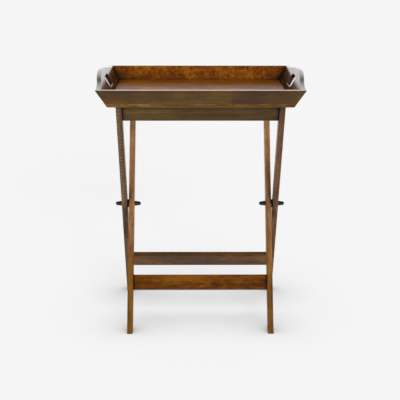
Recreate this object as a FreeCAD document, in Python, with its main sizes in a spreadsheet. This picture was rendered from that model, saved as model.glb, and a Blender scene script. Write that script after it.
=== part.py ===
import FreeCAD, Part
import math
import os
import re
import Sketcher

# Butler's tray table: a lift-off tray with flared, mitred walls and a hand slot in each
# serpentine end board, standing on a scissor stand of two hinged leg frames.
# Millimetres and degrees. +Z is up, -Y is the front, the origin is on the floor under the centre.
SIZES = {
    # Tray, measured over the sharp corners of the rim before rounding
    "tray_width": 642,
    "tray_depth": 567,
    "wall_height": 58,
    "flare_angle": 30.2,
    "board_thickness": 13,
    "base_thickness": 13,
    "rebate_depth": 2,
    "rim_round": 1.5,
    "base_arris": 1.5,
    # Serpentine end boards and their hand slots, measured up the slope of the board
    "handle_rise": 24,
    "slot_length": 98,
    "slot_height": 36,
    "slot_below_rim": 2,
    "slot_corner": 12,
    "slot_round": 2.5,
    # Scissor stand, its legs set in from the edges of the tray's underside
    "stand_height": 752,
    "pivot_height": 380,
    "side_inset": 23.7,
    "leg_inset": 46,
    "leg_width": 40,
    "leg_thickness": 18.2,
    "leg_round": 2,
    "rail_thickness": 20,
    "rail_round": 2,
    "top_rail_reach": 56,
    "stretcher_width": 50,
    "outer_stretcher_drop": 274,
    "inner_stretcher_drop": 270.8,
    "tenon_length": 10,
    "tenon_thickness": 10,
    "tenon_shoulder": 8,
    # Pivot hardware
    "stud_diameter": 8,
    "stud_grip": 10,
    "nut_flats": 14,
    "nut_hex_height": 8,
    "nut_height": 20,
    "nut_dome_diameter": 13.2,
    "nut_chamfer_angle": 30,
    "washer_diameter": 17,
    "washer_thickness": 1.6,
    "spacer_diameter": 28,
    "spacer_thickness": 5.1,
    # Webbing straps that stop the stand from opening further
    "strap_width": 40,
    "strap_thickness": 2,
    "strap_spacing": 260,
    "strap_tab": 34,
    "strap_margin": 8,
    "screw_spacing": 22,
    "screw_diameter": 4,
    "screw_depth": 12,
    "screw_head_diameter": 8,
    "screw_head_height": 2.8,
    "screw_head_round": 2,
    # Fits
    "joint_clearance": 0.1,
    "pivot_clearance": 0.08,
    "face_clearance": 0.2,
    "overrun": 5,
}

# The two leg frames lean opposite ways: the outer one to the front at its top, the inner one to the back.
OUTER = -1
INNER = 1
LEFT = -1
RIGHT = 1
FRONT = -1
BACK = 1


def half_width(height):
    """Half the tray's outside width at a height above its underside."""
    return f"(tray_width / 2 - (wall_height - {height}) * tan(flare_angle))"


def half_depth(height):
    """Half the tray's outside depth at a height above its underside."""
    return f"(tray_depth / 2 - (wall_height - {height}) * tan(flare_angle))"


# Places that several pieces share, as expressions of the sizes
RIM_HEIGHT = "(stand_height + wall_height)"
LEVEL_THICKNESS = "(board_thickness / cos(flare_angle))"
EDGE_HEIGHT = "(base_thickness - rebate_depth)"
OUTER_FACE = f"({half_width(0)} - side_inset)"
OUTER_INSIDE = f"({OUTER_FACE} - leg_thickness)"
INNER_FACE = f"({OUTER_INSIDE} - spacer_thickness - face_clearance)"
INNER_INSIDE = f"({INNER_FACE} - leg_thickness)"
INNER_WASHER = f"({INNER_INSIDE} - face_clearance)"
INNER_NUT = f"({INNER_WASHER} - washer_thickness)"
OUTER_NUT = f"({OUTER_FACE} + washer_thickness)"
LEG_ANGLE = f"atan(({half_depth(0)} - leg_inset) / (stand_height - pivot_height))"
LEG_TOP = f"((stand_height - pivot_height) / cos({LEG_ANGLE}))"
TOP_RAIL_FOOT = f"({LEG_TOP} - top_rail_reach)"
TOP_TENON_MIDDLE = f"({TOP_RAIL_FOOT} + stretcher_width / 2)"
STRETCHER_MIDDLE = {OUTER: "(-outer_stretcher_drop)", INNER: "(-inner_stretcher_drop)"}
STRAP_FOOT = f"({TOP_RAIL_FOOT} + strap_margin)"
STRAP_HEAD = f"({STRAP_FOOT} + strap_tab)"
SCREW_LINE = f"({STRAP_FOOT} + strap_tab / 2)"
STRAP_BACK = "(rail_thickness / 2)"
STRAP_SURFACE = f"({STRAP_BACK} + strap_thickness)"
BORE_RADIUS = "(stud_diameter / 2 + pivot_clearance)"
NUT_CORNER = "(nut_flats / 2 / cos(30))"

# Places closer together than this are the same place.
NEAR = 1e-4

doc = FreeCAD.newDocument("butlers_tray_table")
sheet = doc.addObject("Spreadsheet::Sheet", "sizes")
for row, (alias, number) in enumerate(SIZES.items(), start=1):
    sheet.set(f"A{row}", alias)
    sheet.set(f"B{row}", str(number))
    sheet.setAlias(f"B{row}", alias)
doc.recompute()


def bind(text):
    """Point every size named in an expression at its cell in the sheet."""
    def cell(word):
        return f"sizes.{word.group()}" if word.group() in SIZES else word.group()
    return re.sub(r"[a-z_]+", cell, text)


def value(text):
    """The present value of an expression of the sizes."""
    return float(sheet.evalExpression(bind(text)))


def new_body(label):
    body = doc.addObject("PartDesign::Body", label)
    body.Label = label
    return body


def new_sketch(body, name, plane, offset="0"):
    """A sketch on one of the body's own origin planes, moved along its normal."""
    sketch = body.newObject("Sketcher::SketchObject", f"{body.Name}_{name}")
    origin_plane = [part for part in body.Origin.OriginFeatures if part.Role == plane][0]
    sketch.AttachmentSupport = [(origin_plane, "")]
    sketch.MapMode = "FlatFace"
    sketch.setExpression("AttachmentOffset.Base.z", bind(offset))
    return sketch


def tilt_sketch(sketch, way, angle, up, out):
    """Turn a sketch one way about its own level axis, and move it up and out from its plane."""
    turned = FreeCAD.Rotation(FreeCAD.Vector(way, 0, 0), value(angle))
    sketch.AttachmentOffset = FreeCAD.Placement(FreeCAD.Vector(0, 0, 0), turned)
    sketch.setExpression("AttachmentOffset.Rotation.Angle", bind(angle))
    sketch.setExpression("AttachmentOffset.Base.y", bind(up))
    sketch.setExpression("AttachmentOffset.Base.z", bind(out))


def constrain(sketch, constraint, text):
    index = sketch.addConstraint(constraint)
    sketch.setExpression(f"Constraints[{index}]", bind(text))


def arc_between(start, end, radius, turn):
    """A minor arc from start to end; its centre is on the left for a turn of 1, on the right for -1."""
    half_chord = (end - start) / 2
    height = math.sqrt(radius ** 2 - half_chord.Length ** 2)
    left = FreeCAD.Vector(-half_chord.y, half_chord.x, 0).normalize()
    centre = start + half_chord + left * (turn * height)
    first, last = (start, end) if turn > 0 else (end, start)
    angles = [math.atan2(point.y - centre.y, point.x - centre.x) for point in (first, last)]
    return Part.ArcOfCircle(Part.Circle(centre, FreeCAD.Vector(0, 0, 1), radius), *angles)


def draw_outline(sketch, vertices, arcs=None):
    """A closed outline through vertices given as expressions; arcs maps an edge to its radius and turn."""
    arcs = arcs or {}
    count = len(vertices)
    first = sketch.GeometryCount
    points = [FreeCAD.Vector(value(across), value(up), 0) for across, up in vertices]
    begins = []
    finishes = []
    for edge in range(count):
        start, end = points[edge], points[(edge + 1) % count]
        radius, turn = arcs.get(edge, (None, 1))
        if radius is None:
            sketch.addGeometry(Part.LineSegment(start, end))
        else:
            sketch.addGeometry(arc_between(start, end, value(radius), turn))
        begins.append(1 if turn > 0 else 2)
        finishes.append(2 if turn > 0 else 1)
    for edge in range(count):
        following = (edge + 1) % count
        meeting = (first + edge, finishes[edge], first + following, begins[following])
        sketch.addConstraint(Sketcher.Constraint("Coincident", *meeting))
    for edge, (across, up) in enumerate(vertices):
        place = (-1, 1, first + edge, begins[edge])
        constrain(sketch, Sketcher.Constraint("DistanceX", *place, points[edge].x), across)
        constrain(sketch, Sketcher.Constraint("DistanceY", *place, points[edge].y), up)
    for edge, (radius, turn) in arcs.items():
        constrain(sketch, Sketcher.Constraint("Radius", first + edge, value(radius)), radius)


def draw_circles(sketch, centres, radius):
    """Equal circles at centres given as expressions."""
    for index, (across, up) in enumerate(centres, start=sketch.GeometryCount):
        centre = FreeCAD.Vector(value(across), value(up), 0)
        sketch.addGeometry(Part.Circle(centre, FreeCAD.Vector(0, 0, 1), value(radius)))
        constrain(sketch, Sketcher.Constraint("DistanceX", -1, 1, index, 3, centre.x), across)
        constrain(sketch, Sketcher.Constraint("DistanceY", -1, 1, index, 3, centre.y), up)
        constrain(sketch, Sketcher.Constraint("Radius", index, value(radius)), radius)


def rectangle(half_across, half_up):
    return [
        (f"-{half_across}", f"-{half_up}"),
        (half_across, f"-{half_up}"),
        (half_across, half_up),
        (f"-{half_across}", half_up),
    ]


def pad(body, sketch, length, both_ways=False, backwards=False):
    feature = body.newObject("PartDesign::Pad", f"{sketch.Name}_pad")
    feature.Profile = sketch
    feature.SideType = "Symmetric" if both_ways else "One side"
    feature.Reversed = backwards
    feature.setExpression("Length", bind(length))
    doc.recompute()


def pocket(body, sketch, length=None, backwards=False):
    """A cut of the given length against the sketch's normal, or right through both ways."""
    before = body.Shape.Volume
    feature = body.newObject("PartDesign::Pocket", f"{sketch.Name}_pocket")
    feature.Profile = sketch
    feature.Reversed = backwards
    if length is None:
        feature.SideType = "Symmetric"
        feature.Type = "ThroughAll"
    else:
        feature.setExpression("Length", bind(length))
    doc.recompute()
    if body.Shape.Volume >= before:
        raise RuntimeError(f"{feature.Name} cuts nothing")


def loft(body, lowest, *others):
    feature = body.newObject("PartDesign::AdditiveLoft", f"{lowest.Name}_loft")
    feature.Profile = lowest
    feature.Sections = list(others)
    feature.Ruled = True
    doc.recompute()


def turn_profile(body, sketch, kind):
    """A full turn of a profile about the sketch's first axis: a Revolution adds it, a Groove cuts it."""
    feature = body.newObject(f"PartDesign::{kind}", f"{sketch.Name}_{kind.lower()}")
    feature.Profile = sketch
    feature.ReferenceAxis = (sketch, ["H_Axis"])
    doc.recompute()


def round_edges(body, radius, chosen):
    """Round the edges of the body so far for which chosen(edge) holds."""
    names = [f"Edge{i}" for i, edge in enumerate(body.Shape.Edges, start=1) if chosen(edge)]
    base = body.Tip
    feature = body.newObject("PartDesign::Fillet", f"{body.Name}_{radius}")
    feature.Base = (base, names)
    feature.setExpression("Radius", bind(radius))
    doc.recompute()


def runs_along(edge, direction):
    """Whether a straight edge lies along a direction."""
    run = edge.Vertexes[-1].Point - edge.Vertexes[0].Point
    return run.Length > NEAR and run.cross(direction).Length < NEAR


# Tray

def level_sketch(body, name, height):
    """A level sketch at a height above the tray's underside."""
    return new_sketch(body, name, "XY_Plane", f"stand_height + {height}")


def make_base_panel():
    """Floor of the tray: its bevelled edge carries on the flare, its raised field fits inside the walls."""
    body = new_body("tray_base_panel")
    edge_sections = []
    for name, height, eased in (
            ("underside", "0", "base_arris"), ("arris", "base_arris", "0"), ("seat", EDGE_HEIGHT, "0")):
        sketch = level_sketch(body, name, height)
        half_across = f"({half_width(height)} - {eased})"
        half_up = f"({half_depth(height)} - {eased})"
        draw_outline(sketch, rectangle(half_across, half_up))
        edge_sections.append(sketch)
    loft(body, *edge_sections)
    inset = f"({LEVEL_THICKNESS} + joint_clearance)"
    field_sections = []
    for name, height in (("field", EDGE_HEIGHT), ("floor", "base_thickness")):
        sketch = level_sketch(body, name, height)
        half_across = f"({half_width(height)} - {inset})"
        half_up = f"({half_depth(height)} - {inset})"
        draw_outline(sketch, rectangle(half_across, half_up))
        field_sections.append(sketch)
    loft(body, *field_sections)
    return body


def board_section(half_size, top, side):
    """Cross-section of a flared wall board, from its seat on the base panel up to a given height."""
    outer_foot = (EDGE_HEIGHT, "0")
    outer_top = (top, "0")
    inner_top = (top, LEVEL_THICKNESS)
    inner_foot = (EDGE_HEIGHT, LEVEL_THICKNESS)
    outline = []
    for height, inset in (outer_foot, outer_top, inner_top, inner_foot):
        outline.append((f"{side} * ({half_size(height)} - {inset})", f"stand_height + {height}"))
    return outline


def mitre_ends(body, half_along, half_across, side, plan_of):
    """Cut both ends of a wall board on the upright planes through the tray's corners."""
    reach = "(wall_height + handle_rise)"
    sketch = new_sketch(body, "mitres", "XY_Plane")
    for end in (-1, 1):
        near_end = f"{end} * ({half_along} - {reach})"
        far_end = f"{end} * ({half_along} + {reach})"
        inner = f"{side} * ({half_across} - {reach})"
        outer = f"{side} * ({half_across} + {reach})"
        corners = [(near_end, inner), (far_end, outer), (far_end, inner)]
        draw_outline(sketch, [plan_of(along, across) for along, across in corners])
    pocket(body, sketch)


def make_cross_board(label, side):
    """Front or back wall: a flared board, mitred at both ends, with a level rim."""
    body = new_body(label)
    section = new_sketch(body, "section", "YZ_Plane")
    draw_outline(section, board_section(half_depth, "wall_height", side))
    pad(body, section, "tray_width", both_ways=True)
    rim = value(RIM_HEIGHT)
    across = FreeCAD.Vector(1, 0, 0)
    round_edges(
        body, "rim_round",
        lambda edge: runs_along(edge, across) and edge.BoundBox.ZMin > rim - NEAR)
    mitre_ends(body, "tray_width / 2", "tray_depth / 2", side, lambda along, across: (along, across))
    return body


def serpentine():
    """Region above an end board: level at both corners, rising in an S of equal arcs to the middle."""
    half = "(tray_depth / 2)"
    half_rise = f"({RIM_HEIGHT} + handle_rise / 2)"
    radius = f"(({half} ^ 2 + handle_rise ^ 2) / (4 * handle_rise))"
    clear = f"({half} + handle_rise + 2 * overrun)"
    top = f"({RIM_HEIGHT} + handle_rise + 2 * overrun)"
    vertices = [
        (f"-{clear}", RIM_HEIGHT),
        (f"-{half}", RIM_HEIGHT),
        (f"-{half} / 2", half_rise),
        (f"{half} / 2", half_rise),
        (half, RIM_HEIGHT),
        (clear, RIM_HEIGHT),
        (clear, top),
        (f"-{clear}", top),
    ]
    hollow, crown = 1, -1
    return vertices, {1: (radius, hollow), 2: (radius, crown), 3: (radius, hollow)}


def hand_slot():
    """Rounded rectangle below the board's rim line, measured up the slope of the board."""
    half = "(slot_length / 2)"
    straight = f"({half} - slot_corner)"
    top = "(-slot_below_rim)"
    foot = "(-slot_below_rim - slot_height)"
    vertices = [
        (f"-{straight}", foot),
        (straight, foot),
        (half, f"{foot} + slot_corner"),
        (half, f"{top} - slot_corner"),
        (straight, top),
        (f"-{straight}", top),
        (f"-{half}", f"{top} - slot_corner"),
        (f"-{half}", f"{foot} + slot_corner"),
    ]
    return vertices, {edge: ("slot_corner", 1) for edge in range(1, len(vertices), 2)}


def make_handle_board(label, side):
    """End wall: a flared, mitred board with a serpentine top and a hand slot routed square to its face."""
    body = new_body(label)
    section = new_sketch(body, "section", "XZ_Plane")
    draw_outline(section, board_section(half_width, "(wall_height + handle_rise + overrun)", side))
    pad(body, section, "tray_depth", both_ways=True)
    above = new_sketch(body, "serpentine", "YZ_Plane")
    draw_outline(above, *serpentine())
    pocket(body, above)
    rim = value(RIM_HEIGHT)
    level = value(LEVEL_THICKNESS)
    round_edges(
        body, "rim_round",
        lambda edge: edge.BoundBox.YLength > level and edge.BoundBox.ZMin > rim - NEAR)
    mitre_ends(body, "tray_depth / 2", "tray_width / 2", side, lambda along, across: (across, along))
    slot = new_sketch(body, "slot", "YZ_Plane")
    tilt_sketch(slot, side, "flare_angle", RIM_HEIGHT, f"{side} * tray_width / 2")
    draw_outline(slot, *hand_slot())
    pocket(body, slot)
    flare = math.radians(value("flare_angle"))
    square_to_board = FreeCAD.Vector(math.cos(flare), 0, -side * math.sin(flare))
    half_slot = value("slot_length / 2")

    def slot_rim(edge):
        reach = max(-edge.BoundBox.YMin, edge.BoundBox.YMax)
        depths = [vertex.Point.dot(square_to_board) for vertex in edge.Vertexes]
        return reach < half_slot + NEAR and max(depths) - min(depths) < NEAR

    round_edges(body, "slot_round", slot_rim)
    return body


# Scissor stand

def on_leg(up_leg, off_leg, frame):
    """Point of a leg frame seen from the side: up its legs from the pivot, and off them inwards."""
    across = f"{frame} * ({up_leg} * sin({LEG_ANGLE}) - {off_leg} * cos({LEG_ANGLE}))"
    return across, f"pivot_height + {up_leg} * cos({LEG_ANGLE}) + {off_leg} * sin({LEG_ANGLE})"


def at_height(height, off_leg, frame):
    """Point of a leg frame at a height above the floor, off its legs inwards."""
    across = f"{frame} * (({height} - pivot_height) * tan({LEG_ANGLE}) - {off_leg} / cos({LEG_ANGLE}))"
    return across, height


def square_to_leg(middle, half_long, half_thick, frame):
    """Rectangle seen from the side, long way up the legs of a frame."""
    corners = [("-", "-"), ("+", "-"), ("+", "+"), ("-", "+")]
    return [on_leg(f"({middle} {up} {half_long})", f"(0 {off} {half_thick})", frame) for up, off in corners]


def tenon_outline(middle, frame, clearance="0"):
    half_long = f"(stretcher_width / 2 - tenon_shoulder + {clearance})"
    half_thick = f"(tenon_thickness / 2 + {clearance})"
    return square_to_leg(middle, half_long, half_thick, frame)


def make_leg(label, frame, side):
    """Flat leg cut level at floor and tray, bored for the pivot and mortised on its inner face."""
    body = new_body(label)
    inside = f"{side} * {OUTER_INSIDE if frame == OUTER else INNER_INSIDE}"
    face = new_sketch(body, "face", "YZ_Plane", inside)
    half = "(leg_width / 2)"
    minus_half = "(-leg_width / 2)"
    draw_outline(face, [
        at_height("0", minus_half, frame),
        at_height("0", half, frame),
        at_height("stand_height", half, frame),
        at_height("stand_height", minus_half, frame),
    ])
    pad(body, face, "leg_thickness", backwards=side == LEFT)
    lean = math.radians(value(LEG_ANGLE))
    up_leg = FreeCAD.Vector(0, frame * math.sin(lean), math.cos(lean))
    round_edges(body, "leg_round", lambda edge: runs_along(edge, up_leg))
    bore = new_sketch(body, "bore", "YZ_Plane")
    draw_circles(bore, [("0", "pivot_height")], BORE_RADIUS)
    pocket(body, bore)
    mortises = new_sketch(body, "mortises", "YZ_Plane", inside)
    for middle in (TOP_TENON_MIDDLE, STRETCHER_MIDDLE[frame]):
        draw_outline(mortises, tenon_outline(middle, frame, "joint_clearance"))
    pocket(body, mortises, "tenon_length + joint_clearance", backwards=side == RIGHT)
    return body


def make_rail(label, frame, section, tenon_middle):
    """Cross rail between two legs, with a tenon at each end."""
    body = new_body(label)
    inside = OUTER_INSIDE if frame == OUTER else INNER_INSIDE
    profile = new_sketch(body, "section", "YZ_Plane")
    draw_outline(profile, section)
    pad(body, profile, f"2 * {inside}", both_ways=True)
    across = FreeCAD.Vector(1, 0, 0)
    round_edges(body, "rail_round", lambda edge: runs_along(edge, across))
    tenons = new_sketch(body, "tenons", "YZ_Plane")
    draw_outline(tenons, tenon_outline(tenon_middle, frame))
    pad(body, tenons, f"2 * ({inside} + tenon_length)", both_ways=True)
    return body


def make_top_rail(label, frame):
    """Rail under the tray, planed level with the leg tops, with pilot holes for the strap screws."""
    half = "(rail_thickness / 2)"
    minus_half = "(-rail_thickness / 2)"
    section = [
        on_leg(TOP_RAIL_FOOT, minus_half, frame),
        on_leg(TOP_RAIL_FOOT, half, frame),
        at_height("stand_height", half, frame),
        at_height("stand_height", minus_half, frame),
    ]
    body = make_rail(label, frame, section, TOP_TENON_MIDDLE)
    pilots = strap_sketch(body, "pilots", frame)
    draw_circles(pilots, screw_places(LEFT) + screw_places(RIGHT), "screw_diameter / 2 + joint_clearance")
    pocket(body, pilots, "strap_thickness + screw_depth + joint_clearance", backwards=frame == OUTER)
    return body


def make_stretcher(label, frame):
    """Low rail, square to its legs."""
    middle = STRETCHER_MIDDLE[frame]
    section = square_to_leg(middle, "stretcher_width / 2", "rail_thickness / 2", frame)
    return make_rail(label, frame, section, middle)


# Pivot hardware, along X through both legs of a side

def make_stud(label, side):
    body = new_body(label)
    inner_end = f"({INNER_NUT} - stud_grip)"
    outer_end = f"({OUTER_NUT} + stud_grip)"
    end = new_sketch(body, "end", "YZ_Plane", f"{side} * {inner_end}")
    draw_circles(end, [("0", "pivot_height")], "stud_diameter / 2")
    pad(body, end, f"{outer_end} - {inner_end}", backwards=side == LEFT)
    return body


def make_ring(label, diameter, thickness, seat, outward):
    """Washer or spacer on a stud: it lies against seat and reaches outward along X from there."""
    body = new_body(label)
    face = new_sketch(body, "face", "YZ_Plane", seat)
    draw_circles(face, [("0", "pivot_height")], f"{diameter} / 2")
    draw_circles(face, [("0", "pivot_height")], BORE_RADIUS)
    pad(body, face, thickness, backwards=outward < 0)
    return body


def make_acorn_nut(label, seat, outward):
    """Domed cap nut: chamfered hexagon, short neck and round dome, bored blind for the stud."""
    body = new_body(label)
    hexagon = new_sketch(body, "hexagon", "YZ_Plane")
    half_flats = "nut_flats / 2"
    draw_outline(hexagon, [
        ("0", f"-{NUT_CORNER}"),
        (half_flats, f"-{NUT_CORNER} / 2"),
        (half_flats, f"{NUT_CORNER} / 2"),
        ("0", NUT_CORNER),
        (f"-{half_flats}", f"{NUT_CORNER} / 2"),
        (f"-{half_flats}", f"-{NUT_CORNER} / 2"),
    ])
    pad(body, hexagon, "nut_hex_height")
    beyond = f"({NUT_CORNER} + overrun)"
    drop = f"({beyond} - nut_flats / 2) * tan(nut_chamfer_angle)"
    chamfer = new_sketch(body, "chamfer", "XY_Plane")
    draw_outline(chamfer, [
        ("nut_hex_height", half_flats),
        ("nut_hex_height", beyond),
        (f"nut_hex_height - {drop}", beyond),
    ])
    turn_profile(body, chamfer, "Groove")
    dome = new_sketch(body, "dome", "XY_Plane")
    radius = "(nut_dome_diameter / 2)"
    draw_outline(dome, [
        ("nut_hex_height", "0"),
        ("nut_height", "0"),
        (f"nut_height - {radius}", radius),
        ("nut_hex_height", radius),
    ], {1: (radius, 1)})
    turn_profile(body, dome, "Revolution")
    bore = new_sketch(body, "bore", "YZ_Plane")
    draw_circles(bore, [("0", "0")], BORE_RADIUS)
    pocket(body, bore, "stud_grip + joint_clearance", backwards=True)
    half_turn = 180 if outward < 0 else 0
    body.Placement = FreeCAD.Placement(FreeCAD.Vector(0, 0, 0), FreeCAD.Rotation(half_turn, 0, 0))
    body.setExpression("Placement.Base.x", bind(seat))
    body.setExpression("Placement.Base.z", bind("pivot_height"))
    return body


# Straps

def strap_sketch(body, name, frame):
    """A sketch on the outer surface of the strap tabs, along X and up the leg frame from the pivot."""
    sketch = new_sketch(body, name, "XZ_Plane")
    up = f"pivot_height + {STRAP_SURFACE} * sin({LEG_ANGLE})"
    tilt_sketch(sketch, -frame, LEG_ANGLE, up, f"{frame} * {STRAP_SURFACE} * cos({LEG_ANGLE})")
    return sketch


def screw_places(side):
    """Places of the screws in one strap tab."""
    return [(f"{side} * strap_spacing / 2 {way} screw_spacing / 2", SCREW_LINE) for way in "-+"]


def make_strap(label, side):
    """Taut webbing strap: a tab lies on the inner face of each top rail, and the run is level between."""
    body = new_body(label)
    run_top = f"({on_leg(STRAP_FOOT, STRAP_BACK, OUTER)[1]} + strap_thickness)"
    profile = new_sketch(body, "profile", "YZ_Plane", f"{side} * strap_spacing / 2")
    draw_outline(profile, [
        on_leg(STRAP_HEAD, STRAP_BACK, OUTER),
        on_leg(STRAP_FOOT, STRAP_BACK, OUTER),
        on_leg(STRAP_FOOT, STRAP_BACK, INNER),
        on_leg(STRAP_HEAD, STRAP_BACK, INNER),
        on_leg(STRAP_HEAD, STRAP_SURFACE, INNER),
        at_height(run_top, STRAP_SURFACE, INNER),
        at_height(run_top, STRAP_SURFACE, OUTER),
        on_leg(STRAP_HEAD, STRAP_SURFACE, OUTER),
    ])
    pad(body, profile, "strap_width", both_ways=True)
    for frame, name in ((OUTER, "outer_holes"), (INNER, "inner_holes")):
        holes = strap_sketch(body, name, frame)
        draw_circles(holes, screw_places(side), "screw_diameter / 2 + joint_clearance")
        pocket(body, holes, "strap_thickness + overrun", backwards=frame == OUTER)
    return body


def make_strap_screws(label, frame):
    """Round-headed wood screws that hold the straps to one top rail, a group of separate solids."""
    body = new_body(label)
    places = screw_places(LEFT) + screw_places(RIGHT)
    heads = strap_sketch(body, "heads", frame)
    draw_circles(heads, places, "screw_head_diameter / 2")
    pad(body, heads, "screw_head_height", backwards=frame == OUTER)
    lean = math.radians(value(LEG_ANGLE))
    off_leg = FreeCAD.Vector(0, -frame * math.cos(lean), math.sin(lean))
    pivot = FreeCAD.Vector(0, 0, value("pivot_height"))
    crown = value(f"{STRAP_SURFACE} + screw_head_height")

    def on_crown(edge):
        return all(abs((vertex.Point - pivot).dot(off_leg) - crown) < NEAR for vertex in edge.Vertexes)

    round_edges(body, "screw_head_round", on_crown)
    shanks = strap_sketch(body, "shanks", frame)
    draw_circles(shanks, places, "screw_diameter / 2")
    pad(body, shanks, "strap_thickness + screw_depth", backwards=frame == INNER)
    return body


pieces = [
    make_base_panel(),
    make_cross_board("tray_front_board", FRONT),
    make_cross_board("tray_back_board", BACK),
    make_top_rail("outer_top_rail", OUTER),
    make_top_rail("inner_top_rail", INNER),
    make_stretcher("outer_stretcher", OUTER),
    make_stretcher("inner_stretcher", INNER),
    make_strap_screws("outer_strap_screws", OUTER),
    make_strap_screws("inner_strap_screws", INNER),
]
for side, side_name in ((LEFT, "left"), (RIGHT, "right")):
    pieces += [
        make_handle_board(f"tray_{side_name}_handle_board", side),
        make_leg(f"outer_leg_{side_name}", OUTER, side),
        make_leg(f"inner_leg_{side_name}", INNER, side),
        make_stud(f"pivot_stud_{side_name}", side),
        make_ring(f"outer_washer_{side_name}", "washer_diameter", "washer_thickness",
                  f"{side} * {OUTER_FACE}", side),
        make_ring(f"inner_washer_{side_name}", "washer_diameter", "washer_thickness",
                  f"{side} * {INNER_WASHER}", -side),
        make_ring(f"pivot_spacer_{side_name}", "spacer_diameter", "spacer_thickness",
                  f"{side} * {OUTER_INSIDE}", -side),
        make_acorn_nut(f"outer_acorn_nut_{side_name}", f"{side} * {OUTER_NUT}", side),
        make_acorn_nut(f"inner_acorn_nut_{side_name}", f"{side} * {INNER_NUT}", -side),
        make_strap(f"strap_{side_name}", side),
    ]
doc.recompute()

for thing in doc.Objects:
    if "Invalid" in thing.State or "Error" in thing.State:
        raise RuntimeError(f"{thing.Label} failed: {thing.State}")
for piece in pieces:
    if piece.Shape.isNull() or not piece.Shape.isValid() or not piece.Shape.Solids:
        raise RuntimeError(f"{piece.Label} has no valid solid")

os.makedirs("parts", exist_ok=True)
for piece in pieces:
    piece.Shape.exportStep(f"parts/{piece.Label}.step")
print(len(pieces), "pieces written")
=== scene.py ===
import math

import bmesh
import bpy
from mathutils import Matrix, Vector


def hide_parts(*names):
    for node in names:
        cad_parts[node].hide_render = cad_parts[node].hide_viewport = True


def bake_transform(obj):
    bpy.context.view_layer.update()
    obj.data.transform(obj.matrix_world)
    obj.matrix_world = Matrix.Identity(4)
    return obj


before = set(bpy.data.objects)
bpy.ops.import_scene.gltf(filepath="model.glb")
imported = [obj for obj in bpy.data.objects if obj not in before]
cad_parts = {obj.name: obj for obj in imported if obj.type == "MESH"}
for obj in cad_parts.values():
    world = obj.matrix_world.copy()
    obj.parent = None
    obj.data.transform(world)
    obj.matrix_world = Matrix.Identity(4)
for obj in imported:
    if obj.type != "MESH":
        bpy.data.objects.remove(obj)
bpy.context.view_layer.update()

# Butler's tray table: finishes, webbing straps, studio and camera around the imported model.
# Metres, +Z up, -Y the front. Colours are written as sRGB out of 255.

scene = bpy.context.scene
scene.view_settings.view_transform = "Standard"

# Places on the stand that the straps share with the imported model
PIVOT_HEIGHT = 0.380
LEG_RISE = 0.372
LEG_SPREAD = 0.2037
TOP_RAIL_REACH = 0.056
RAIL_THICKNESS = 0.020
STRAP_WIDTH = 0.040
STRAP_THICKNESS = 0.0018
STRAP_GAP = 0.0001
STRAP_SPACING = 0.260
STRAP_TAB = 0.034
STRAP_MARGIN = 0.008

LEG_ANGLE = math.atan2(LEG_SPREAD, LEG_RISE)
LEG_LENGTH = math.hypot(LEG_SPREAD, LEG_RISE)
STRAP_FOOT = LEG_LENGTH - TOP_RAIL_REACH + STRAP_MARGIN

CROSSWAYS = (1, 0, 0)
FRONT_TO_BACK = (0, 1, 0)
UPWARD = (0, 0, 1)
UP_OUTER_LEG = (0, -math.sin(LEG_ANGLE), math.cos(LEG_ANGLE))
UP_INNER_LEG = (0, math.sin(LEG_ANGLE), math.cos(LEG_ANGLE))


def from_srgb(red, green, blue):
    """Scene-linear colour with alpha, from sRGB out of 255."""
    def linear(part):
        share = part / 255
        return share / 12.92 if share <= 0.04045 else ((share + 0.055) / 1.055) ** 2.4
    return (linear(red), linear(green), linear(blue), 1.0)


# Node helpers

COVER_SAMPLES = 8
BEVEL_SAMPLES = 4


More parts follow.
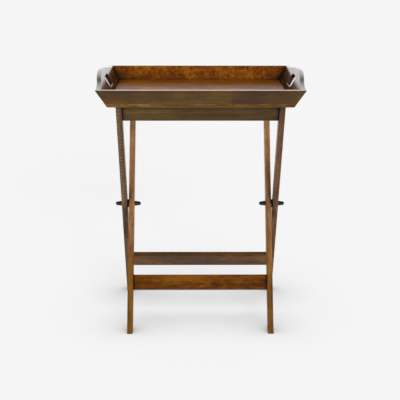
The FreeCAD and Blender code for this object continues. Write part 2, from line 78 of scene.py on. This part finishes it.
class Shader:
    """The node tree of a material or the world, with short ways to add and join nodes."""

    def __init__(self, tree):
        self.tree = tree

    def add(self, kind, **settings):
        node = self.tree.nodes.new(f"ShaderNode{kind}")
        for name, setting in settings.items():
            setattr(node, name, setting)
        return node

    def join(self, source, target):
        self.tree.links.new(source, target)

    def feed(self, socket, source):
        """Join a source to a socket, or set the socket to a plain value."""
        if isinstance(source, bpy.types.NodeSocket):
            self.join(source, socket)
        else:
            socket.default_value = source

    def math(self, operation, first, second=0.0):
        node = self.add("Math", operation=operation)
        self.feed(node.inputs[0], first)
        self.feed(node.inputs[1], second)
        return node.outputs[0]

    def total(self, *terms):
        """Weighted sum of sockets."""
        total = 0.0
        for socket, weight in terms:
            total = self.math("ADD", self.math("MULTIPLY", socket, weight), total)
        return total

    def dot(self, vector, direction):
        node = self.add("VectorMath", operation="DOT_PRODUCT")
        self.feed(node.inputs[0], vector)
        self.feed(node.inputs[1], direction)
        return node.outputs["Value"]

    def ranged(self, source, low, high, to_low, to_high):
        node = self.add("MapRange", interpolation_type="SMOOTHSTEP")
        self.join(source, node.inputs["Value"])
        limits = (("From Min", low), ("From Max", high), ("To Min", to_low), ("To Max", to_high))
        for name, limit in limits:
            node.inputs[name].default_value = limit
        return node.outputs["Result"]

    def noise(self, vector, scale, detail, roughness=0.5, distortion=0.0):
        node = self.add("TexNoise")
        self.join(vector, node.inputs["Vector"])
        node.inputs["Scale"].default_value = scale
        node.inputs["Detail"].default_value = detail
        node.inputs["Roughness"].default_value = roughness
        node.inputs["Distortion"].default_value = distortion
        return node.outputs["Fac"]

    def ramp(self, source, stops):
        node = self.add("ValToRGB")
        self.join(source, node.inputs["Fac"])
        elements = node.color_ramp.elements
        while len(elements) < len(stops):
            elements.new(1.0)
        for element, (place, colour) in zip(elements, stops):
            element.position = place
            element.color = colour
        return node.outputs["Color"]

    def mix(self, share, first, second, blend="MIX"):
        node = self.add("Mix", data_type="RGBA", blend_type=blend)
        self.feed(node.inputs["Factor"], share)
        self.feed(node.inputs["A"], first)
        self.feed(node.inputs["B"], second)
        return node.outputs["Result"]

    def stretched(self, vector, along, stretch_share, shift):
        """Object coordinates turned to run along a grain, drawn out along it and shifted to a new place."""
        across = along.orthogonal().normalized()
        combine = self.add("CombineXYZ")
        run = self.math("MULTIPLY", self.dot(vector, along), stretch_share)
        self.join(self.math("ADD", run, shift), combine.inputs["X"])
        self.join(self.dot(vector, across), combine.inputs["Y"])
        self.join(self.dot(vector, along.cross(across)), combine.inputs["Z"])
        return combine.outputs["Vector"]

    def openness(self, reach):
        """1 where nothing lies within reach of a place, and less the more of its view is covered."""
        node = self.add("AmbientOcclusion", samples=COVER_SAMPLES)
        node.inputs["Distance"].default_value = reach
        return node.outputs["AO"]

    def softened_normal(self, reach):
        """The normal with the edges rounded off over a reach."""
        node = self.add("Bevel", samples=BEVEL_SAMPLES)
        node.inputs["Radius"].default_value = reach
        return node.outputs["Normal"]

    def bumped(self, height, distance, strength):
        node = self.add("Bump")
        self.join(height, node.inputs["Height"])
        node.inputs["Distance"].default_value = distance
        node.inputs["Strength"].default_value = strength
        return node.outputs["Normal"]


def new_material(name):
    """A material with an empty tree but for its Principled shader and output."""
    material = bpy.data.materials.new(name)
    material.use_nodes = True
    shader = Shader(material.node_tree)
    principled = material.node_tree.nodes["Principled BSDF"]
    return material, shader, principled


# Stained wood

# Stops of the stain, from the dark of the figure to its light
STAIN_STOPS = (
    (0.30, (66, 28, 4)),
    (0.44, (102, 52, 9)),
    (0.54, (126, 70, 15)),
    (0.66, (152, 94, 28)),
)
PORE_COLOUR = (30, 15, 6)
# Painted shade: the wood darkens towards this in its recesses and corners
RECESS_SHADE_COLOUR = (18, 10, 5)
# Edges wear to this pale, and faces that look up pale to it as a painted highlight
WORN_AND_HIGHLIGHT_COLOUR = (252, 214, 156)

# Noises of the wood, and how far the figure and the pores are drawn out along the grain
FIGURE = {"scale": 46.0, "detail": 4.0, "roughness": 0.55, "distortion": 0.9}
MOTTLES = {"scale": 85.0, "detail": 5.0, "roughness": 0.62, "distortion": 0.5}
CLOUDS = {"scale": 12.0, "detail": 2.0}
PORES = {"scale": 750.0, "detail": 2.0, "roughness": 0.6}
FIGURE_STRETCH_SHARE = 0.09
PORE_STRETCH_SHARE = 0.035

RIPPLE_SCALE = 450.0
RIPPLE_BEND = 12.0
RIPPLE_SLANT_SHARE = 0.8
RIPPLE_RANGE = (0.40, 0.60)
PORE_RANGE = (0.56, 0.68)
PORE_SHARE = 0.55
PORE_DEPTH = 0.00012
FIGURE_RELIEF_SHARE = 0.4
RELIEF_STRENGTH = 0.5
WEAR_REACH = 0.0016
WEAR_RANGE = (0.995, 0.88)
WEAR_SHARE = 0.35
WEAR_PATCH_RANGE = (0.42, 0.60)
# How far up a face looks before it takes the painted highlight
LEVEL_RANGE = (0.75, 0.97)
# Painted shade in recesses and corners: how open a place must be to be unshaded, and the least left
RECESS_RANGE = (0.50, 0.93)
CORNER_RANGE = (0.45, 0.80)
LEAST_UNSHADED_SHARE = 0.02
DULL_RANGE = (0.35, 0.65)
DULL_ROUGHNESS, FINE_ROUGHNESS = 0.40, 0.30
LACQUER_IOR = 1.35
# Heights over which the inner legs lighten towards their heads, a painted light
LIT_HEAD_HEIGHTS = (0.10, 0.45)

PLAIN_LOOK = {
    "top_highlight_share": 0.0,
    "ripple_share": 0.0,
    "drift_share": 0.25,
    "stretch_share": 0.45,
    "contrast": 1.6,
    "recess_reach": 0.03,
}


def tinted(colour, tone):
    """A colour's brightness times a tone for each of red, green and blue."""
    red, green, blue, alpha = from_srgb(*colour)
    return (red * tone[0], green * tone[1], blue * tone[2], alpha)


def ripples_across(shader, place, along, figure, mottles, ripple_share):
    """Slanted ripples across the grain, in patches."""
    slanted = shader.dot(place, along + RIPPLE_SLANT_SHARE * Vector(CROSSWAYS))
    waves = shader.math("SINE", shader.total((slanted, RIPPLE_SCALE), (figure, RIPPLE_BEND)))
    patches = shader.ranged(mottles, *RIPPLE_RANGE, 0.0, ripple_share)
    return shader.math("MULTIPLY", waves, patches)


def toned_stain(shader, grain, place, normal, tone, look):
    """Colour of the stain, which can lighten towards the head as painted light, and change on the faces of
    the second tone.
    """
    contrast = look["contrast"]
    depth = shader.math("ADD", shader.math("MULTIPLY", grain, contrast), (1 - contrast) / 2)
    stain = shader.ramp(depth, [(stop, tinted(colour, tone)) for stop, colour in STAIN_STOPS])
    # Painted light: lighter towards the head
    if "lit_head_tone" in look:
        faded = shader.ranged(shader.dot(place, UPWARD), *LIT_HEAD_HEIGHTS, 0.0, 1.0)
        stain = shader.mix(faded, stain, (*look["lit_head_tone"], 1.0), blend="MULTIPLY")
    if "second_tone" in look:
        turned = shader.ranged(shader.dot(normal, UPWARD), *look["facing_range"], 0.0, 1.0)
        stain = shader.mix(turned, stain, (*look["second_tone"], 1.0), blend="MULTIPLY")
    return stain


def wear_and_highlight_of(shader, normal, mottles, top_highlight_share):
    """How pale a place is: worn patchily along the edges, and a painted highlight where it faces up."""
    flatness = shader.dot(shader.softened_normal(WEAR_REACH), normal)
    edge = shader.ranged(flatness, *WEAR_RANGE, 0.0, WEAR_SHARE)
    patchy = shader.ranged(mottles, *WEAR_PATCH_RANGE, 0.0, 1.0)
    # Painted highlight: paler where the face looks up
    top_highlight = shader.ranged(shader.dot(normal, UPWARD), *LEVEL_RANGE, 0.0, top_highlight_share)
    return shader.math("MAXIMUM", shader.math("MULTIPLY", edge, patchy), top_highlight)


def unshaded_share_of(shader, look):
    """1 where the wood is unshaded, and little in its recesses and corners: painted shade, darker the more
    nearby wood covers.
    """
    unshaded = shader.ranged(shader.openness(look["recess_reach"]), *RECESS_RANGE, LEAST_UNSHADED_SHARE, 1.0)
    if "corner_reach" in look:
        openness = shader.openness(look["corner_reach"])
        out_of_corner = shader.ranged(openness, *CORNER_RANGE, LEAST_UNSHADED_SHARE, 1.0)
        unshaded = shader.math("MULTIPLY", unshaded, out_of_corner)
    return unshaded


def stained_wood(name, shift, along, tone, mottle_share, gloss_share, haze_share, lacquer, **extras):
    """Lacquered, stained wood whose grain runs along a direction.

    Extras: top_highlight_share of a painted highlight where it faces up, ripple_share across the grain,
    drift_share of broad clouds in the figure, the mottles' stretch_share along the grain, the contrast of all
    these, the lit_head_tone of painted light that it lightens to at its top, the second_tone of the faces
    that its facing_range picks by how far up they face, and the recess_reach and corner_reach of the painted
    shade in its recesses and in the corners where three pieces meet.
    """
    material, shader, principled = new_material(name)
    look = PLAIN_LOOK | extras
    along = Vector(along).normalized()
    place = shader.add("TexCoord").outputs["Object"]
    normal = shader.add("NewGeometry").outputs["Normal"]
    mottle_place = shader.stretched(place, along, look["stretch_share"], shift)
    mottles = shader.noise(mottle_place, **MOTTLES)
    clouds = shader.noise(mottle_place, **CLOUDS)
    figure = shader.noise(shader.stretched(place, along, FIGURE_STRETCH_SHARE, shift), **FIGURE)
    pores = shader.noise(shader.stretched(place, along, PORE_STRETCH_SHARE, shift), **PORES)
    ripples = ripples_across(shader, place, along, figure, mottles, look["ripple_share"])
    drift_share = look["drift_share"]
    figure_share = 1 - drift_share - mottle_share
    layers = ((figure, figure_share), (mottles, mottle_share), (clouds, drift_share), (ripples, 1.0))
    grain = shader.total(*layers)
    stain = toned_stain(shader, grain, place, normal, tone, look)
    open_pores = shader.ranged(pores, *PORE_RANGE, 0.0, PORE_SHARE)
    grained = shader.mix(open_pores, stain, tinted(PORE_COLOUR, tone))
    wear_and_highlight = wear_and_highlight_of(shader, normal, mottles, look["top_highlight_share"])
    worn_and_lit = shader.mix(wear_and_highlight, grained, from_srgb(*WORN_AND_HIGHLIGHT_COLOUR))
    # Painted shade: darker and less glossy in the recesses and corners
    unshaded = unshaded_share_of(shader, look)
    colour = shader.mix(unshaded, tinted(RECESS_SHADE_COLOUR, tone), worn_and_lit)
    roughness = shader.ranged(mottles, *DULL_RANGE, DULL_ROUGHNESS, FINE_ROUGHNESS)
    relief = shader.total((open_pores, -1.0), (figure, FIGURE_RELIEF_SHARE))
    shader.join(colour, principled.inputs["Base Color"])
    shader.join(roughness, principled.inputs["Roughness"])
    shader.join(shader.bumped(relief, PORE_DEPTH, RELIEF_STRENGTH), principled.inputs["Normal"])
    shader.join(shader.math("MULTIPLY", unshaded, gloss_share), principled.inputs["Coat Weight"])
    principled.inputs["Coat Roughness"].default_value = lacquer
    principled.inputs["Coat IOR"].default_value = LACQUER_IOR
    principled.inputs["IOR"].default_value = LACQUER_IOR
    principled.inputs["Specular IOR Level"].default_value = haze_share
    return material


# Black hardware

SCUFFS = {"scale": 260.0, "detail": 4.0, "roughness": 0.6}
SCUFF_STOPS = (0.35, 0.65)
SCUFF_SHADE_SHARES = (0.7, 1.0)
SCUFF_RANGE = (0.3, 0.7)
SCUFF_ROUGHNESS = 0.08
PEEL = {"scale": 1400.0, "detail": 1.0}
PEEL_DEPTH = 0.00004
PEEL_STRENGTH = 0.3


def black_paint(name, colour, roughness, shine_share):
    """Black enamel with a slight orange-peel, scuffed duller in patches."""
    material, shader, principled = new_material(name)
    place = shader.add("TexCoord").outputs["Object"]
    scuffs = shader.noise(place, **SCUFFS)
    peel = shader.noise(place, **PEEL)
    shades = [from_srgb(*[part * share for part in colour]) for share in SCUFF_SHADE_SHARES]
    limits = (roughness - SCUFF_ROUGHNESS, roughness + SCUFF_ROUGHNESS)
    shader.join(shader.ramp(scuffs, list(zip(SCUFF_STOPS, shades))), principled.inputs["Base Color"])
    shader.join(shader.ranged(scuffs, *SCUFF_RANGE, *limits), principled.inputs["Roughness"])
    shader.join(shader.bumped(peel, PEEL_DEPTH, PEEL_STRENGTH), principled.inputs["Normal"])
    principled.inputs["Specular IOR Level"].default_value = shine_share
    return material


# Webbing

WARP_SCALE = 3600.0
WEFT_SCALE = 2400.0
WEAVE_SHARE = 0.22
WEAVE_DEPTH = 0.0002
WEAVE_STRENGTH = 0.6
FUZZ = {"scale": 900.0, "detail": 3.0}
FUZZ_RANGE = (0.3, 0.7)
FUZZ_ROUGHNESS = (0.78, 0.92)
THREAD_STOPS = ((0.2, (38, 28, 21)), (0.75, (88, 68, 50)))
SHEEN_SHARE = 0.25


def woven_webbing(name):
    """Dark brown webbing: a twill of fine threads across the band, lighter along its threads."""
    material, shader, principled = new_material(name)
    place = shader.add("TexCoord").outputs["Object"]
    separate = shader.add("SeparateXYZ")
    shader.join(place, separate.inputs["Vector"])
    diagonal = shader.math("ADD", separate.outputs["X"], separate.outputs["Y"])
    warp = shader.math("SINE", shader.math("MULTIPLY", separate.outputs["X"], WARP_SCALE))
    weft = shader.math("SINE", shader.math("MULTIPLY", diagonal, WEFT_SCALE))
    weave = shader.math("MULTIPLY", warp, weft)
    fuzz = shader.noise(place, **FUZZ)
    lightness = shader.total((weave, WEAVE_SHARE), (fuzz, 1.0))
    threads = shader.ramp(lightness, [(stop, from_srgb(*colour)) for stop, colour in THREAD_STOPS])
    shader.join(threads, principled.inputs["Base Color"])
    shader.join(shader.ranged(fuzz, *FUZZ_RANGE, *FUZZ_ROUGHNESS), principled.inputs["Roughness"])
    shader.join(shader.bumped(weave, WEAVE_DEPTH, WEAVE_STRENGTH), principled.inputs["Normal"])
    principled.inputs["Sheen Weight"].default_value = SHEEN_SHARE
    return material


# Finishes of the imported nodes

WALL_TONE = (1.08, 1.04, 0.5)
FLOOR_TONE = (1.42, 1.5, 0.5)
# The handle boards' stain is darkened as painted shade on their inside faces; their outsides take a lighter
# second tone
LEFT_HANDLE_SHADED_TONE = (0.34, 0.42, 1.7)
RIGHT_HANDLE_SHADED_TONE = (0.52, 0.84, 5.5)
FRONT_TONE = (0.56, 0.82, 0.35)
LEFT_OUTER_LEG_TONE = (1.08, 2.2, 14.0)
RIGHT_OUTER_LEG_TONE = (1.1, 2.0, 12.2)
INNER_LEG_TONE = (1.08, 1.47, 1.4)
INNER_LIT_HEAD_TONE = (1.95, 2.4, 12.0)
TOP_RAIL_TONE = (0.66, 1.22, 4.0)
OUTER_STRETCHER_TONE = (0.76, 1.0, 1.0)
INNER_STRETCHER_TONE = (0.77, 0.79, 0.33)
POLISHED, SATIN = 0.12, 0.28
# Reaches of the painted shade in the tray's corners and over the handle boards' insides
TRAY_CORNER_REACH = 0.12
HANDLE_RECESS_REACH = 0.22

# A flared board's inside faces up a little and its outside down, and the floor panel's edge faces out
INSIDE = (-0.3, 0.3)
OUTSIDE = (0.3, -0.3)
EDGE = (0.9, 0.2)
FRONT_INSIDE = {"second_tone": (1.93, 1.27, 1.43), "facing_range": INSIDE}
BACK_OUTSIDE = {"second_tone": (0.52, 0.79, 0.7), "facing_range": OUTSIDE}
LEFT_OUTSIDE = {"second_tone": (1.65, 1.95, 0.35), "facing_range": OUTSIDE}
RIGHT_OUTSIDE = {"second_tone": (1.08, 0.98, 0.11), "facing_range": OUTSIDE}
PALE_EDGE = {"second_tone": (0.73, 1.0, 5.0), "facing_range": EDGE}

# Paler where the rims and tops face up: a painted highlight
HIGHLIT_RIM = {"top_highlight_share": 0.6}
HIGHLIT_BACK = {"top_highlight_share": 0.45}
HIGHLIT_TOP = {"top_highlight_share": 0.075, "contrast": 1.2}
CLEAR_RIPPLE = {"ripple_share": 0.08, "contrast": 0.9}
FAINT_RIPPLE = {"ripple_share": 0.03, "contrast": 0.9}
# The inner legs lighten towards their heads: painted light
LIT_HEAD = {"lit_head_tone": INNER_LIT_HEAD_TONE, "contrast": 1.0}
CLOUDY = {"drift_share": 0.6, "contrast": 1.2}
EVEN = {"drift_share": 0.5, "contrast": 0.75}
# Painted shade in the tray's corners and over the handle boards' insides
SHADED_CORNERS = {"contrast": 1.3, "corner_reach": TRAY_CORNER_REACH}
FLECKED = {"stretch_share": 1.4, "drift_share": 0.35, "contrast": 1.5, "corner_reach": TRAY_CORNER_REACH}
SHADED_RECESSES = {"recess_reach": HANDLE_RECESS_REACH}
PLAIN = {}

# Node: grain, tone of the stain, how mottled, how glossy, how hazy, its lacquer and any extras
WOODEN_NODES = {
    "tray_base_panel": (CROSSWAYS, FLOOR_TONE, 0.3, 0.36, 0.05, SATIN, SHADED_CORNERS | PALE_EDGE),
    "tray_front_board": (CROSSWAYS, FRONT_TONE, 0.15, 0.7, 0.2, POLISHED, HIGHLIT_RIM | CLOUDY | FRONT_INSIDE),
    "tray_back_board": (CROSSWAYS, WALL_TONE, 0.55, 0.5, 0.1, POLISHED, HIGHLIT_BACK | FLECKED | BACK_OUTSIDE),
    "tray_left_handle_board":
        (FRONT_TO_BACK, LEFT_HANDLE_SHADED_TONE, 0.35, 1.0, 0.0, POLISHED, SHADED_RECESSES | LEFT_OUTSIDE),
    "tray_right_handle_board":
        (FRONT_TO_BACK, RIGHT_HANDLE_SHADED_TONE, 0.35, 1.0, 0.0, POLISHED, SHADED_RECESSES | RIGHT_OUTSIDE),
    "outer_leg_left": (UP_OUTER_LEG, LEFT_OUTER_LEG_TONE, 0.25, 0.22, 0.1, SATIN, CLEAR_RIPPLE),
    "outer_leg_right": (UP_OUTER_LEG, RIGHT_OUTER_LEG_TONE, 0.25, 0.22, 0.1, SATIN, FAINT_RIPPLE),
    "inner_leg_left": (UP_INNER_LEG, INNER_LEG_TONE, 0.25, 0.2, 0.1, SATIN, LIT_HEAD),
    "inner_leg_right": (UP_INNER_LEG, INNER_LEG_TONE, 0.25, 0.2, 0.1, SATIN, LIT_HEAD),
    "outer_top_rail": (CROSSWAYS, TOP_RAIL_TONE, 0.15, 0.4, 0.1, POLISHED, EVEN),
    "inner_top_rail": (CROSSWAYS, TOP_RAIL_TONE, 0.15, 0.4, 0.1, POLISHED, EVEN),
    "outer_stretcher": (CROSSWAYS, OUTER_STRETCHER_TONE, 0.25, 0.8, 0.4, POLISHED, HIGHLIT_TOP),
    "inner_stretcher": (CROSSWAYS, INNER_STRETCHER_TONE, 0.35, 0.4, 0.1, POLISHED, PLAIN),
}
# Each piece of wood is cut from another place in the grain
SHIFT_STEP = 7.7

# Colour, roughness and shine of the hardware, and the words in the names of its metal nodes
ENAMEL = ((24, 27, 25), 0.34, 0.4)
PLASTIC = ((15, 12, 10), 0.6, 0.2)
METAL_WORDS = ("nut", "washer", "stud", "screws")


def finish_node(node, material):
    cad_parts[node].data.materials.clear()
    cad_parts[node].data.materials.append(material)


for number, (node, (*finish, extras)) in enumerate(WOODEN_NODES.items(), start=1):
    finish_node(node, stained_wood(f"wood_{node}", number * SHIFT_STEP, *finish, **extras))

enamel = black_paint("black_enamel", *ENAMEL)
black_plastic = black_paint("black_plastic", *PLASTIC)
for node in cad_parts:
    if any(word in node for word in METAL_WORDS):
        finish_node(node, enamel)
    elif "spacer" in node:
        finish_node(node, black_plastic)


# Webbing straps

STRAP_SAG = 0.008
STRAP_BEND = 0.003
STRAP_BEND_STEPS = 6
STRAP_RUN_STEPS = 24
SELVEDGE = 0.0012
SELVEDGE_BEND_SHARE = 1 / 3
SELVEDGE_THIN_SHARE = 0.6


def on_outer_leg(up_leg, off_leg):
    """Point (y, z) on the outer leg frame: up its legs from the pivot, and off them inwards."""
    sine, cosine = math.sin(LEG_ANGLE), math.cos(LEG_ANGLE)
    return Vector((off_leg * cosine - up_leg * sine, PIVOT_HEIGHT + up_leg * cosine + off_leg * sine))


def strap_line():
    """Middle line of a strap (y, z): down the outer rail, across with a slight sag, and up the inner rail."""
    middle = RAIL_THICKNESS / 2 + STRAP_GAP + STRAP_THICKNESS / 2
    head_place = on_outer_leg(STRAP_FOOT + STRAP_TAB, middle)
    foot_place = on_outer_leg(STRAP_FOOT, middle)
    run_start = foot_place + Vector((STRAP_BEND, 0))
    tab_end = foot_place + (head_place - foot_place).normalized() * STRAP_BEND
    half_line = [head_place, tab_end]
    for step in range(1, STRAP_BEND_STEPS):
        share = step / STRAP_BEND_STEPS
        to_corner = tab_end.lerp(foot_place, share)
        half_line.append(to_corner.lerp(foot_place.lerp(run_start, share), share))
    half_run = -run_start.x
    for step in range(STRAP_RUN_STEPS // 2):
        along = -half_run + 2 * half_run * step / STRAP_RUN_STEPS
        drop = STRAP_SAG * (1 - (along / half_run) ** 2)
        half_line.append(Vector((along, run_start.y - drop)))
    lowest = Vector((0, run_start.y - STRAP_SAG))
    mirrored = [Vector((-point.x, point.y)) for point in reversed(half_line)]
    return half_line + [lowest] + mirrored


def band_section():
    """Closed outline of the band across its width: flat, with rounded selvedges a little thinner."""
    half, thick = STRAP_WIDTH / 2, STRAP_THICKNESS / 2
    thin = thick * SELVEDGE_THIN_SHARE
    side = [(half - SELVEDGE, thick), (half - SELVEDGE * SELVEDGE_BEND_SHARE, thin), (half, 0)]
    upper = [(-across, up) for across, up in reversed(side)] + side
    return upper[1:] + [(across, -up) for across, up in reversed(upper[:-1])]


def make_strap(name, side, material):
    """One strap swept along its line, closed at both cut ends."""
    mesh = bmesh.new()
    line = strap_line()
    outline = band_section()
    rings = []
    for index, point in enumerate(line):
        ahead = line[min(index + 1, len(line) - 1)]
        behind = line[max(index - 1, 0)]
        direction = (ahead - behind).normalized()
        normal = Vector((-direction.y, direction.x))
        ring = []
        for across, up in outline:
            place = point + normal * up
            ring.append(mesh.verts.new((side * STRAP_SPACING / 2 + across, place.x, place.y)))
        rings.append(ring)
    for ring, following in zip(rings, rings[1:]):
        for corner in range(len(outline)):
            beside = (corner + 1) % len(outline)
            mesh.faces.new((ring[corner], ring[beside], following[beside], following[corner]))
    cut_ends = [mesh.faces.new(rings[0]), mesh.faces.new(rings[-1])]
    for face in mesh.faces:
        face.smooth = face not in cut_ends
    bmesh.ops.recalc_face_normals(mesh, faces=mesh.faces)
    data = bpy.data.meshes.new(name)
    mesh.to_mesh(data)
    mesh.free()
    data.materials.append(material)
    strap = bpy.data.objects.new(name, data)
    scene.collection.objects.link(strap)
    return strap


webbing = woven_webbing("webbing")
for side, side_name in ((-1, "left"), (1, "right")):
    strap = make_strap(f"webbing_strap_{side_name}", side, webbing)
    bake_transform(strap)
    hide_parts(f"strap_{side_name}")


# Studio: a white floor and backdrop, and two soft lights, in front of the table to its right and overhead

FLOOR_SIZE = 60.0
FLOOR_WHITE = (255, 255, 255)
FLOOR_BOUNCE = (165, 165, 165)
FLOOR_GLOW_SHARE = 0.72
SHADE_REACH = 0.17
BACKDROP = (246, 246, 246)
BAND_RADIANCE = 1.8
SKY_RADIANCE = 0.08
BAND_HEIGHTS = (0.28, 0.46)
BAND_LEAN = 0.06
# Soft lights: towards them, radiance, and degrees from the middle to where they fade out and are full
SOFTBOXES = (
    ((0.24, -0.915, 0.325), 17.5, 13, 8),
    ((0, -0.15, 0.99), 4.5, 20, 12),
)


def seen_directly(shader):
    """1 for rays of the camera, mirrors and glass, and 0 for the light that falls on the object."""
    path = shader.add("LightPath")
    seen = shader.math("MAXIMUM", path.outputs["Is Camera Ray"], path.outputs["Is Glossy Ray"])
    return shader.math("MAXIMUM", seen, path.outputs["Is Transmission Ray"])


def mix_shaders(shader, share, first, second, output):
    """Two shaders mixed by a share and joined to an output node."""
    both = shader.add("MixShader")
    shader.join(share, both.inputs["Fac"])
    shader.join(first.outputs[0], both.inputs[1])
    shader.join(second.outputs[0], both.inputs[2])
    shader.join(both.outputs[0], shader.add(output).inputs["Surface"])


def floor_paint():
    """White that glows in part, so that the shadows on it stay light; the glow dims near the table, a painted
    shadow.
    """
    material = bpy.data.materials.new("floor")
    material.use_nodes = True
    material.node_tree.nodes.clear()
    shader = Shader(material.node_tree)
    seen = seen_directly(shader)
    diffuse = shader.add("BsdfDiffuse")
    colour = shader.mix(seen, from_srgb(*FLOOR_BOUNCE), from_srgb(*FLOOR_WHITE))
    shader.join(colour, diffuse.inputs["Color"])
    glow = shader.add("Emission")
    # Painted shadow: the glow dims where the table is near and covers the floor's view
    shader.join(shader.openness(SHADE_REACH), glow.inputs["Strength"])
    glow_share = shader.math("MULTIPLY", seen, FLOOR_GLOW_SHARE)
    mix_shaders(shader, glow_share, diffuse, glow, "OutputMaterial")
    return material


def make_floor():
    half = FLOOR_SIZE / 2
    corners = [(-half, -half, 0), (half, -half, 0), (half, half, 0), (-half, half, 0)]
    data = bpy.data.meshes.new("floor")
    data.from_pydata(corners, [], [(0, 1, 2, 3)])
    data.materials.append(floor_paint())
    floor = bpy.data.objects.new("floor", data)
    scene.collection.objects.link(floor)


def make_sky():
    """White round the horizon and dim above it, with soft lights that mirrors don't see."""
    world = bpy.data.worlds.new("studio")
    world.use_nodes = True
    world.node_tree.nodes.clear()
    scene.world = world
    shader = Shader(world.node_tree)
    toward = shader.add("TexCoord").outputs["Generated"]
    height = shader.dot(toward, (0, -BAND_LEAN, 1))
    radiance = shader.ranged(height, *BAND_HEIGHTS, BAND_RADIANCE, SKY_RADIANCE)
    unseen = shader.math("SUBTRACT", 1.0, seen_directly(shader))
    for place, strength, *reaches in SOFTBOXES:
        nearness = shader.dot(toward, Vector(place).normalized())
        faded, full = [math.cos(math.radians(reach)) for reach in reaches]
        light = shader.math("MULTIPLY", unseen, shader.ranged(nearness, faded, full, 0.0, strength))
        radiance = shader.math("ADD", radiance, light)
    studio = shader.add("Background")
    shader.join(radiance, studio.inputs["Strength"])
    white = shader.add("Background")
    white.inputs["Color"].default_value = from_srgb(*BACKDROP)
    mix_shaders(shader, shader.add("LightPath").outputs["Is Camera Ray"], studio, white, "OutputWorld")


make_floor()
make_sky()

# Camera at the photograph's place

CAMERA_PLACE = (-0.0279, -3.4089, 1.3099)
CAMERA_TILT = math.radians(15.08)
CAMERA_YAW = math.radians(0.47)
CAMERA_ROLL = math.radians(0.09)
CAMERA_LENS = 93.79
CAMERA_SENSOR = 36.0

camera_data = bpy.data.cameras.new("camera")
camera_data.lens = CAMERA_LENS
camera_data.sensor_width = CAMERA_SENSOR
camera = bpy.data.objects.new("camera", camera_data)
scene.collection.objects.link(camera)
level = Matrix.Rotation(-CAMERA_YAW, 4, "Z") @ Matrix.Rotation(math.pi / 2 - CAMERA_TILT, 4, "X")
camera.matrix_world = Matrix.Translation(CAMERA_PLACE) @ level @ Matrix.Rotation(CAMERA_ROLL, 4, "Z")
scene.camera = camera
